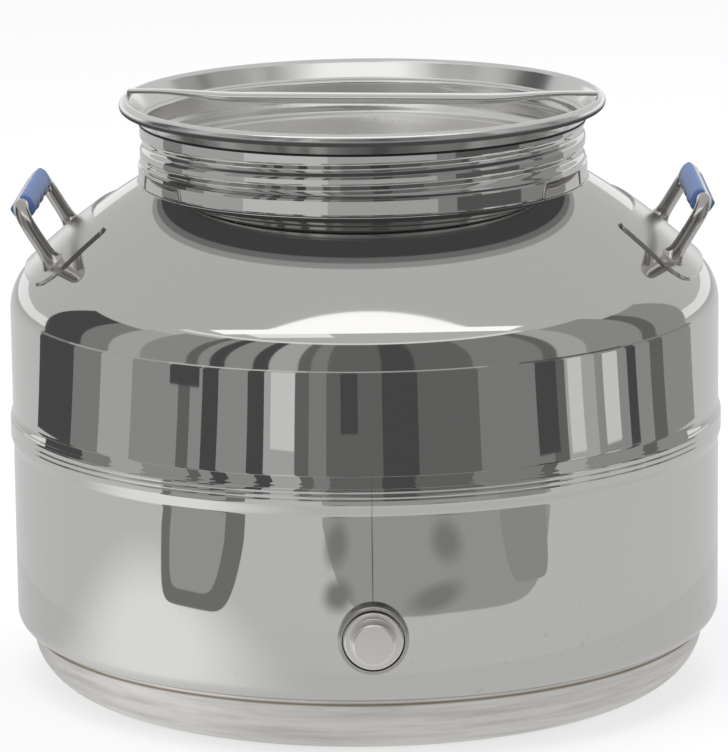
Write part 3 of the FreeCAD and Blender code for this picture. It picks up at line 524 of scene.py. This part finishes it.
def barSection(x):  # pressed channel, flattened towards its ends
    b = bar
    flat = smooth((abs(x) - b["straight"]) / (b["tabStart"] - b["straight"]))
    half = b["half"] + (b["tabHalf"] - b["half"]) * flat
    low = b["low"] + (b["tabLow"] - b["low"]) * flat
    top = b["top"] + (b["tabTop"] - b["top"]) * flat
    upper = b["round"] + (0.5 - b["round"]) * flat
    edge = b["edge"]
    wall = min(b["sheet"], half * 0.5)
    roof = top - b["sheet"] + (low + 0.05 - top + b["sheet"]) * flat
    right = arc(half - edge, low + edge, edge, -90, 0, 4) + arc(half - upper, top - upper, upper, 0, 90, 8)
    left = [(-y, z) for y, z in right[::-1]]
    return right + left + [(wall - half, low), (wall - half, roof), (half - wall, roof), (half - wall, low)]


def makeBar():
    b = bar
    reach = [b["straight"] + (b["tabStart"] - b["straight"]) * i / 16 for i in range(17)] + [110.0, b["tabEnd"]]
    places = [-x for x in reach[::-1]] + [x for x in (-30.0, 0.0, 30.0)] + reach
    sections = [barSection(x) for x in places]
    rows = len(sections[0])
    a = math.radians(b["turn"])
    verts = [((x * math.cos(a) - y * math.sin(a)) * mm, (x * math.sin(a) + y * math.cos(a) + b["shift"]) * mm, z * mm)
             for x, section in zip(places, sections) for y, z in section]
    faces = [(j * rows + i, j * rows + (i + 1) % rows, (j + 1) * rows + (i + 1) % rows, (j + 1) * rows + i)
             for j in range(len(places) - 1) for i in range(rows)]
    faces += [tuple(range(rows))[::-1], tuple(range((len(places) - 1) * rows, len(places) * rows))]
    return makeMesh("LidBar", verts, faces, 40)


dress(makeBar(), pressedBar, "lid", "mirror_steel", "lid_bar")
print("bar made")


# handles and grips

handle = {
    "rod": 3.6, "spread": 50.0, "out": 149.4, "height": 217.2, "lean": 31.6, "rise": 30.0, "bend": 11.0,
    "turnLeft": -3.4, "weldWide": 3.4, "weldFade": 2.1, "weldEnd": 12.0, "weldSink": 0.4, "padTop": 1.2,
}
grip = {
    "length": 76.0, "bore": 3.7, "half": 5.9, "drop": 7.8, "lip": 4.3, "fromDeg": 112.0, "toDeg": 396.0,
    "waveLength": 19.0, "waveRound": 24.0, "waveDepth": 2.0, "endRound": 1.8,
    "square": 2.8,             # 2 is round below, more is boxier
    "lipTurn": 26.0,           # degrees over which the lips thicken
}


def leaned(x, y, z, left):  # from the handle's own frame to the drum's, in mm
    a = math.radians(handle["lean"])
    across = handle["out"] + x * math.cos(a) + z * math.sin(a)
    up = handle["height"] - x * math.sin(a) + z * math.cos(a)
    if not left:
        return across, y, up
    t = math.radians(handle["turnLeft"])
    return -across * math.cos(t) - y * math.sin(t), -across * math.sin(t) + y * math.cos(t), up


def footAt(x, y, left):  # where a line along the leg meets the pad, found in small steps
    dx, dz = domeMiddle()
    s = 0.0
    for _ in range(14):
        px, py, pz = leaned(x, y, s, left)
        lift = drum["domeRadius"] + handle["padTop"]
        s -= (pz - dz - math.sqrt(lift ** 2 - (math.hypot(px, py) - dx) ** 2)) / 1.2
    return s


def makeHandle(name, left):
    h, around = handle, 40
    turns = [2 * math.pi * k / around for k in range(around)]
    bendLow = h["rise"] - h["bend"]
    rings = []
    for i in range(13):  # the weld's hollow fillet, following the pad below
        share = (i / 12) ** 1.8
        wide = h["rod"] + h["weldWide"] * math.exp(-h["weldEnd"] * share / h["weldFade"])
        ring = []
        for a in turns:
            x, y = wide * math.cos(a), -h["spread"] - wide * math.sin(a)
            low = footAt(x, y, left) - h["weldSink"]
            ring.append((x, y, low + (h["weldEnd"] - low) * share))
        rings.append(ring)
    for i in range(17):
        a = math.pi / 2 * i / 16
        py = -h["spread"] + h["bend"] * (1 - math.cos(a))
        pz = bendLow + h["bend"] * math.sin(a)
        rings.append([(h["rod"] * math.cos(b), py - h["rod"] * math.sin(b) * math.cos(a),
                       pz + h["rod"] * math.sin(b) * math.sin(a)) for b in turns])
    rings += [[(x, -y, z) for x, y, z in ring] for ring in rings[::-1]]
    verts = [tuple(v * mm for v in leaned(*point, left)) for ring in rings for point in ring]
    faces = []
    for j in range(len(rings) - 1):
        a, b = j * around, (j + 1) * around
        faces += [(a + k, a + (k + 1) % around, b + (k + 1) % around, b + k) for k in range(around)]
    return makeMesh(name, verts, faces, 60)


def makeGrip(name, left):  # a C round the rod's inner side, open above and outward, with finger waves
    g, steps = grip, 44
    half = g["length"] / 2
    ends = [0.0, 0.15, 0.45, 0.95, g["endRound"]]
    places = [e - half for e in ends] + [-35.5 + i for i in range(72)] + [half - e for e in ends[::-1]]
    verts = []
    for y in places:
        u = (y + half) % g["waveLength"] - g["waveLength"] / 2
        drop = g["drop"] - g["waveDepth"] + g["waveRound"] - math.sqrt(g["waveRound"] ** 2 - u * u)
        inset = 1 - min(1.0, (half - abs(y)) / g["endRound"])
        full = 0.4 + 0.6 * math.sqrt(1 - inset * inset)
        for i in range(steps + 1):
            deg = g["fromDeg"] + (g["toDeg"] - g["fromDeg"]) * i / steps
            c, s = math.cos(math.radians(deg)), math.sin(math.radians(deg))
            reach = g["half"]
            if s < 0:
                reach = ((abs(c) / g["half"]) ** g["square"] + (-s / drop) ** g["square"]) ** (-1 / g["square"])
            edge = min(deg - g["fromDeg"], g["toDeg"] - deg)
            reach = g["lip"] + (reach - g["lip"]) * smooth(edge / g["lipTurn"])
            reach = g["bore"] + (reach - g["bore"]) * full
            for r in (reach, g["bore"]):
                verts.append(tuple(v * mm for v in leaned(r * c, y, handle["rise"] + r * s, left)))
    row, faces = 2 * (steps + 1), []
    for j in range(len(places) - 1):
        a, b = j * row, (j + 1) * row
        for i in range(0, row - 2, 2):
            faces += [(a + i, a + i + 2, b + i + 2, b + i), (a + i + 3, a + i + 1, b + i + 1, b + i + 3)]
        faces += [(a + 1, a, b, b + 1), (a + row - 2, a + row - 1, b + row - 1, b + row - 2)]
    for a in (0, (len(places) - 1) * row):
        faces += [(a + i, a + i + 1, a + i + 3, a + i + 2) for i in range(0, row - 2, 2)]
    return makeMesh(name, verts, faces, 50)


for side, left in (("left", True), ("right", False)):
    dress(makeHandle("Handle" + side.title(), left), drawnRod, "drum", "bright_steel", "handle_" + side)
    sleeve = dress(makeGrip("Grip" + side.title(), left), gripPlastic, "drum", "blue_plastic", "grip_" + side)
    sleeve.visible_glossy = False  # keeps blue specks out of the dome
print("handles and grips made")


# the pieces that keep their CAD shape

keepCad = {
    # the gasket's black is painted shadow under the lid's rim; the tap's washer takes the same black
    "lid_gasket": sealPaintedShadow, "tap_washer": sealPaintedShadow,
    "handle_pad_left": satinPad, "handle_pad_right": satinPad,
    "tap_ferrule": turnedPort, "tap_plug": turnedPlug,
}
for nodeName, mat in keepCad.items():
    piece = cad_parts[nodeName]
    piece.data.materials.clear()
    piece.data.materials.append(mat)
print("CAD pieces dressed")


# studio

studio = {
    "surround": "#fbfcfd",
    "fill": 0.66,           # brightness of the surround on the drum
    "floorSize": 14, "floorShift": 2.0,    # m, square and its way back from the axis
    "floorAlbedo": 0.36,    # how strongly the floor shows the drum's shadow
    "floorSeen": 0.66,      # glow that keeps the floor white in the picture
    "floorShine": 0.30,     # glow of the same floor in the steel
    "tableEdge": 0.70,      # m from the axis to where the light table ends
    "farEdge": 1.30,        # m, the neck alone shows the floor from here
    "farEnd": 1.75,         # m, to here
    "roomRadius": 2.4,      # m
    "floorLevel": 0.002,    # m, the reflected floor lies just above the real one
}

# a plain room in front, as upright panels: azimuth from and to in degrees, kind
roomGlow = {"lit": 0.80, "dark": 0.09, "shade": 0.17, "wall": 0.28, "curtain": 0.36, "window": 0.52}
panels = (
    (-121, -100, "dark"), (-100, -87, "wall"), (-87, -74, "window"), (-74, -57, "curtain"), (-57, -53, "shade"),
    (-53, -49, "curtain"), (-49, -44, "dark"), (-44, -35, "curtain"), (-35, -30, "dark"), (-30, -21, "window"),
    (-21, -17, "shade"), (-17, -12, "wall"), (-12, 4, "shade"), (4, 14, "dark"), (14, 32, "shade"),
    (32, 55, "wall"), (55, 60, "shade"), (60, 71, "window"), (71, 95, "curtain"), (95, 102, "shade"),
    (102, 120, "curtain"),
)

# the floor farther out, in fields
farGlow = {"black": 0.12, "grey": 0.30, "pale": 0.50, "light": 0.70}
fields = ((-122, -104, "grey"), (-104, -62, "pale"), (-62, -18, "light"), (-18, 36, "pale"), (36, 46, "grey"),
          (46, 84, "black"), (84, 122, "grey"))

# things lying about in front: azimuth from and to, distance from and to, kind
things = (
    (-60, -50, 0.95, 1.30, "dark"), (-28, -21, 0.80, 1.15, "lit"), (-8, -3, 0.85, 1.20, "dark"),
    (50, 57, 0.75, 1.20, "dark"), (61, 66, 0.74, 1.10, "lit"), (74, 80, 0.74, 1.02, "lit"),
    (84, 88, 0.71, 1.30, "dark"),
)


def glowMaterial(name, strength, soft=None):  # soft: half sizes of a glow that fades to its edge
    mat, tree = emptyMaterial(name)
    glow = addNode(tree, "ShaderNodeEmission", (200, 0), {"Color": (1, 1, 1, 1), "Strength": strength})
    if soft:
        here = addNode(tree, "ShaderNodeTexCoord", (-700, 0)).outputs["Object"]
        size = addNode(tree, "ShaderNodeMapping", (-500, 0), {"Vector": here, "Scale": (1 / soft[0], 1 / soft[1], 1)})
        ball = addNode(tree, "ShaderNodeTexGradient", (-300, 0), {0: size.outputs[0]}, gradient_type="SPHERICAL")
        fade = addNode(tree, "ShaderNodeMapRange", (-100, 0), {"Value": ball.outputs["Fac"], "From Max": 0.75},
                       interpolation_type="SMOOTHSTEP")
        clear = addNode(tree, "ShaderNodeBsdfTransparent", (200, -150))
        glow = addNode(tree, "ShaderNodeMixShader", (400, 0), {0: fade.outputs[0], 1: clear.outputs[0],
                                                               2: glow.outputs[0]})
    addNode(tree, "ShaderNodeOutputMaterial", (600, 0), {"Surface": glow.outputs[0]})
    return mat


def card(name, corners, faces, strength, soft=None):  # shows in the steel and nowhere else
    mesh = bpy.data.meshes.new(name)
    mesh.from_pydata(corners, [], faces)
    mesh.materials.append(glowMaterial(name + "Glow", strength, soft))
    obj = bpy.data.objects.new(name, mesh)
    bpy.context.collection.objects.link(obj)
    obj.visible_camera = False
    obj.visible_diffuse = False
    obj.visible_shadow = False
    obj.visible_transmission = False
    return obj


def roomStrip(name, fromDeg, toDeg, strength, rings):  # rings: pairs of (radius, height) joined by a face
    steps = max(2, int(abs(toDeg - fromDeg) / 2))
    turns = [math.radians(fromDeg + (toDeg - fromDeg) * j / steps) for j in range(steps + 1)]
    verts = [(r * math.sin(a), -r * math.cos(a), z) for a in turns for r, z in rings]
    rows = len(rings)
    faces = [(j * rows + i, j * rows + i + rows, j * rows + i + rows + 1, j * rows + i + 1)
             for j in range(steps) for i in range(0, rows, 2)]
    return card(name, verts, faces, strength)


def levelCard(name, fromX, toX, fromY, toY, height, strength):
    corners = [(fromX, fromY, height), (toX, fromY, height), (toX, toY, height), (fromX, toY, height)]
    return card(name, corners, [(0, 1, 2, 3)], strength)


def paper(name, fromDeg, toDeg, near, side, height, strength):  # a sheet on the table, its near corners rounded
    far, outline = studio["tableEdge"], []
    for i in range(33):
        t = i / 16 - 1
        outline.append((fromDeg + (toDeg - fromDeg) * i / 32, near + side * abs(t) ** 7))
    outline += [(toDeg + (fromDeg - toDeg) * i / 24, far) for i in range(25)]
    corners = [(r * math.sin(math.radians(a)), -r * math.cos(math.radians(a)), height) for a, r in outline]
    return card(name, corners, [tuple(range(len(corners)))], strength)


def softPatch(name, azimuth, distance, halfX, halfY, height, strength):
    corners = [(-halfX, -halfY, 0), (halfX, -halfY, 0), (halfX, halfY, 0), (-halfX, halfY, 0)]
    patch = card(name, corners, [(0, 1, 2, 3)], strength, (halfX, halfY))
    a = math.radians(azimuth)
    patch.location = (distance * math.sin(a), -distance * math.cos(a), height)
    return patch


# sheets of paper on the table: azimuth from and to, near edge, how far its corners draw back, height, brightness
papers = {
    "PaperLeft": (-60, -34.5, 0.42, 0.16, 0.003, 0.22),
    "PaperLeftInside": (-57, -40, 0.45, 0.12, 0.004, 0.42),
    "PaperMiddle": (-13, 52, 0.432, 0.20, 0.003, 0.42),
    "PaperMiddleEdge": (36, 50.5, 0.47, 0.18, 0.004, 0.36),
}

# soft dark things on the table: azimuth, distance, half width, half depth
darkThings = ((20.5, 0.58, 0.060, 0.075), (-9, 0.58, 0.045, 0.075), (-8.5, 0.47, 0.045, 0.050),
              (17, 0.46, 0.085, 0.040))

# rings of shade above the dome, under the lid's rim: radius from and to, brightness
rimShade = ((0.1125, 0.124, 0.07), (0.124, 0.128, 0.20), (0.128, 0.132, 0.38))

level, table, far, farEnd, room = (studio[key] for key in
                                   ("floorLevel", "tableEdge", "farEdge", "farEnd", "roomRadius"))
for number, (start, stop, kind) in enumerate(panels):
    topDeg = 50 - 11 * smooth((abs(start) - 60) / 40)  # the room is lower at its sides
    roomStrip("RoomPanel%02d" % number, start, stop, roomGlow[kind],
              [(table, level), (far, level), (farEnd, level), (room, 0.03), (room, 0.03),
               (room, room * math.tan(math.radians(topDeg)))])
for number, (start, stop, kind) in enumerate(fields):
    roomStrip("FloorField%02d" % number, start, stop, farGlow[kind], [(far, level), (farEnd, level)])
for number, (start, stop, near, away, kind) in enumerate(things):
    roomStrip("Thing%d" % number, start, stop, roomGlow[kind], [(near, 0.004), (away, 0.004)])
roomStrip("RoomTopLight", -82, 66, 1.0, [(room - 0.05, room * math.tan(math.radians(49))),
                                         (room - 0.05, room * math.tan(math.radians(52)))])
roomStrip("RingUnderBase", -180, 180, 0.64, [(0.142, 0.001), (0.33, 0.001)])
levelCard("RoomCeiling", -22, 22, -22, 22, 4.0, 0.62)
levelCard("LampLid", -0.34, 0.34, -0.27, -0.19, 0.62, 1.5)
levelCard("LampLeft", -1.50, -0.40, -1.37, -0.53, 3.0, 1.15)
for name, sheet in papers.items():
    paper(name, *sheet)
for number, (azimuth, distance, wide, deep) in enumerate(darkThings):
    softPatch("DarkThing%d" % number, azimuth, distance, wide, deep, 0.005, 0.27)
for number, (start, stop, glow) in enumerate(rimShade):
    roomStrip("FlagUnderRim%d" % number, -180, 180, glow, [(start, 0.2835), (stop, 0.2835)])
softPatch("LightOnTable", -56, 0.34, 0.26, 0.20, 0.0022, 1.05)


def rayShare(tree, kinds, at):  # 1 for rays of these kinds
    ray = addNode(tree, "ShaderNodeLightPath", at)
    share = ray.outputs[kinds[0]]
    for kind in kinds[1:]:
        share = addNode(tree, "ShaderNodeMath", (at[0] + 180, at[1]), {0: share, 1: ray.outputs[kind]},
                        operation="MAXIMUM").outputs[0]
    return share


def makeFloor():
    bpy.ops.mesh.primitive_plane_add(size=studio["floorSize"], location=(0, studio["floorShift"], 0))
    floor = bpy.context.object
    floor.name = "StudioFloor"
    paint, tree = emptyMaterial("PaleFloor")
    base = addNode(tree, "ShaderNodeBsdfDiffuse", (0, 0),
                   {"Color": (studio["floorAlbedo"],) * 3 + (1,), "Roughness": 0.0})
    seen = addNode(tree, "ShaderNodeMath", (-300, -300),
                   {0: rayShare(tree, ("Is Camera Ray",), (-700, -300)), 1: studio["floorSeen"]},
                   operation="MULTIPLY")
    steel = rayShare(tree, ("Is Glossy Ray", "Is Transmission Ray"), (-700, -600))
    shine = addNode(tree, "ShaderNodeMath", (-300, -500), {0: steel, 1: studio["floorShine"]}, operation="MULTIPLY")
    total = addNode(tree, "ShaderNodeMath", (-100, -400), {0: seen.outputs[0], 1: shine.outputs[0]}, operation="ADD")
    lift = addNode(tree, "ShaderNodeEmission", (100, -300), {"Strength": total.outputs[0]})
    both = addNode(tree, "ShaderNodeAddShader", (420, 0), {0: base.outputs[0], 1: lift.outputs[0]})
    addNode(tree, "ShaderNodeOutputMaterial", (600, 0), {"Surface": both.outputs[0]})
    floor.data.materials.append(paint)


def makeWorld():
    world = bpy.data.worlds.new("Surround")
    bpy.context.scene.world = world
    world.use_nodes = True
    tree = world.node_tree
    tree.nodes.clear()
    # the steel shows the white surround too
    share = rayShare(tree, ("Is Camera Ray", "Is Glossy Ray", "Is Transmission Ray"), (-600, 200))
    fill = addNode(tree, "ShaderNodeBackground", (-100, 0),
                   {"Color": rgb(studio["surround"]), "Strength": studio["fill"]})
    seen = addNode(tree, "ShaderNodeBackground", (-100, -200), {"Color": (1, 1, 1, 1), "Strength": 1.0})
    pick = addNode(tree, "ShaderNodeMixShader", (200, 0), {0: share, 1: fill.outputs[0], 2: seen.outputs[0]})
    addNode(tree, "ShaderNodeOutputWorld", (400, 0), {"Surface": pick.outputs[0]})


# two soft lamps above, which the steel doesn't show: place in m, size in m, watts
lamps = {"KeyLamp": ((-0.6, -0.9, 2.6), (1.6, 1.2), 26), "BackLamp": ((0.7, 1.2, 2.2), (1.4, 1.0), 14)}
lampTarget = (0, 0, 0.1)


def areaLamp(name, place, size, watts):
    data = bpy.data.lights.new(name, "AREA")
    data.shape = "RECTANGLE"
    data.size, data.size_y, data.energy = *size, watts
    lamp = bpy.data.objects.new(name, data)
    bpy.context.collection.objects.link(lamp)
    lamp.location = place
    lamp.rotation_euler = (Vector(lampTarget) - Vector(place)).to_track_quat("-Z", "Y").to_euler()
    lamp.visible_glossy = False
    return lamp


makeFloor()
makeWorld()
for name, lamp in lamps.items():
    areaLamp(name, *lamp)
print("studio made")


# camera

lens = {  # metres, degrees and, for focal, mm on a 36 mm frame
    "distance": 2.5, "height": 0.6957, "round": -0.75, "turn": -0.735, "pitch": 12.33, "roll": -0.68,
    "focal": 254.67,
}


def makeCamera():
    data = bpy.data.cameras.new("PhotoCamera")
    data.sensor_fit = "HORIZONTAL"
    data.sensor_width = 36.0
    data.lens = lens["focal"]
    data.dof.use_dof = False
    data.clip_end = 50
    cam = bpy.data.objects.new("PhotoCamera", data)
    bpy.context.collection.objects.link(cam)
    a = math.radians(lens["round"])
    place = (lens["distance"] * math.sin(a), -lens["distance"] * math.cos(a), lens["height"])
    cam.matrix_world = (Matrix.Translation(place)
                        @ Matrix.Rotation(math.radians(lens["turn"]), 4, "Z")
                        @ Matrix.Rotation(math.radians(90 - lens["pitch"]), 4, "X")
                        @ Matrix.Rotation(math.radians(lens["roll"]), 4, "Z"))
    bpy.context.scene.camera = cam


makeCamera()
bpy.context.scene.view_settings.view_transform = "Standard"
